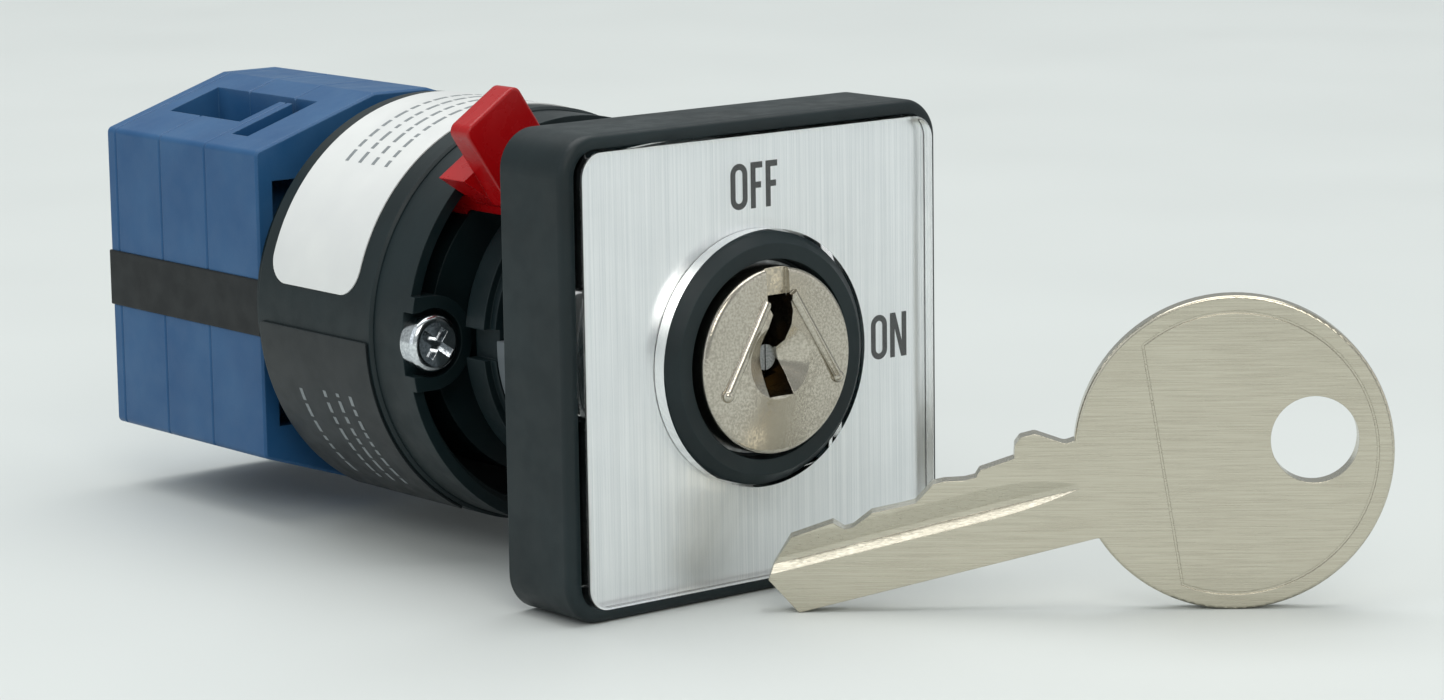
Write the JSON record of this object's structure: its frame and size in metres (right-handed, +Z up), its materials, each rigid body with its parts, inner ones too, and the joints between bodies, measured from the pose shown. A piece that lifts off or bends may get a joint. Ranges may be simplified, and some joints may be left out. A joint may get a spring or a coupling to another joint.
{
  "type": "selector key switch",
  "caption": "Panel-mounted rotary selector switch worked by a key, with a square front plate, red locking lever, round housing, blue contact block and a loose key.",
  "frame": {"origin": "on the switch axis, in the back face of the square front plate, where the panel's front surface lies", "axes": "+Y along the switch axis, from the key's side to the rear of the contact block; +Z up, towards the OFF position; +X to the right seen from the front, towards the ON position"},
  "size_m": [0.0665, 0.1407, 0.0503],
  "materials": {
    "black_plastic": "matt moulded",
    "label_metal": "fine vertical brushing",
    "clear_plastic": "polished clear plastic",
    "rubber": "soft flat seal",
    "zinc_casting": "die-cast",
    "nickel_plate": "satin nickel plate",
    "nickel_silver": "fine brushed nickel silver",
    "wafer_brass": "stamped",
    "spring_steel": "drawn",
    "shutter_steel": "dull",
    "shaft_steel": "zinc plated",
    "grey_plastic": "moulded",
    "red_plastic": "semi-gloss moulded",
    "zinc_plate": "bright zinc plate",
    "label_film": "matt printed film",
    "pad_plastic": "fine textured",
    "blue_plastic": "satin moulded",
    "strip_plastic": "satin moulded",
    "white_acetal": "moulded",
    "contact_copper": "stamped, silver buttons"
  },
  "bodies": {
    "switch_body": {"adapter_stage": "blue_plastic", "bearing_plate": "black_plastic", "bezel_frame": "black_plastic", "cage_screws": "zinc_plate", "clamp_washers": "zinc_plate", "clear_cover": "clear_plastic", "contact_spring_bottom_1": "spring_steel", "contact_spring_bottom_2": "spring_steel", "contact_spring_top_1": "spring_steel", "contact_spring_top_2": "spring_steel", "contact_stage_1": "blue_plastic", "contact_stage_2": "blue_plastic", "detent_spring_left": "spring_steel", "detent_spring_right": "spring_steel", "end_cover": "blue_plastic", "fixed_contacts": "contact_copper", "front_cage": "black_plastic", "info_label": "label_film", "label_plate": "label_metal", "lock_body": "zinc_casting", "mounting_housing": "black_plastic", "neck_barrel": "black_plastic", "panel_gasket": "rubber", "panel_spacer": "grey_plastic", "rating_pad": "pad_plastic", "ring_nut": "black_plastic", "side_strip_left": "strip_plastic", "side_strip_right": "strip_plastic", "terminal_screws": "zinc_plate", "tie_screws": "zinc_plate"},
    "rotor": {"contact_cam_1": "white_acetal", "contact_cam_2": "white_acetal", "detent_wheel": "black_plastic", "drive_coupling": "black_plastic", "keyway_shutter": "shutter_steel", "lock_plug": "nickel_plate", "plug_clip": "spring_steel", "stop_disc": "black_plastic", "switch_shaft": "shaft_steel", "wafer_springs": "spring_steel"},
    "wafers": {"wafer_tumblers": "wafer_brass"},
    "top_contact_1": {"bridge_top_1": "contact_copper", "plunger_top_1": "white_acetal"},
    "bottom_contact_1": {"bridge_bottom_1": "contact_copper", "plunger_bottom_1": "white_acetal"},
    "top_contact_2": {"bridge_top_2": "contact_copper", "plunger_top_2": "white_acetal"},
    "bottom_contact_2": {"bridge_bottom_2": "contact_copper", "plunger_bottom_2": "white_acetal"},
    "lever": {"locking_lever": "red_plastic", "locking_ring": "black_plastic"},
    "key": {"key": "nickel_silver"}
  },
  "joints": [
    {"name": "plug_turn", "type": "hinge", "parent": "switch_body", "child": "rotor", "pos_m": [0, 0, 0], "axis": [0, 1, 0], "range_deg": [0, 90], "deforming": ["detent_spring_left", "detent_spring_right"]},
    {"name": "wafer_rise", "type": "slide", "parent": "rotor", "child": "wafers", "axis": [0, 0, 1], "range_m": [0, 0.0008], "deforming": ["wafer_springs"]},
    {"name": "top_contact_1_slide", "type": "slide", "parent": "switch_body", "child": "top_contact_1", "axis": [0, 0, 1], "range_m": [-0.002, 0], "deforming": ["contact_spring_top_1"]},
    {"name": "bottom_contact_1_slide", "type": "slide", "parent": "switch_body", "child": "bottom_contact_1", "axis": [0, 0, 1], "range_m": [0, 0.002], "deforming": ["contact_spring_bottom_1"]},
    {"name": "top_contact_2_slide", "type": "slide", "parent": "switch_body", "child": "top_contact_2", "axis": [0, 0, 1], "range_m": [-0.002, 0], "deforming": ["contact_spring_top_2"]},
    {"name": "bottom_contact_2_slide", "type": "slide", "parent": "switch_body", "child": "bottom_contact_2", "axis": [0, 0, 1], "range_m": [0, 0.002], "deforming": ["contact_spring_bottom_2"]},
    {"name": "lever_swing", "type": "hinge", "parent": "switch_body", "child": "lever", "pos_m": [0, 0.0268, 0], "axis": [0, 1, 0], "range_deg": [0, 30]},
    {"name": "key_lift", "type": "slide", "parent": "switch_body", "child": "key", "axis": [0, 0, 1], "range_m": [0, 0.06]}
  ],
  "couplings": [
    {"joint": "top_contact_1_slide", "follows": "plug_turn", "m_per_rad": -0.0012727},
    {"joint": "bottom_contact_1_slide", "follows": "plug_turn", "m_per_rad": 0.0012727},
    {"joint": "top_contact_2_slide", "follows": "plug_turn", "m_per_rad": -0.0012727},
    {"joint": "bottom_contact_2_slide", "follows": "plug_turn", "m_per_rad": 0.0012727}
  ]
}
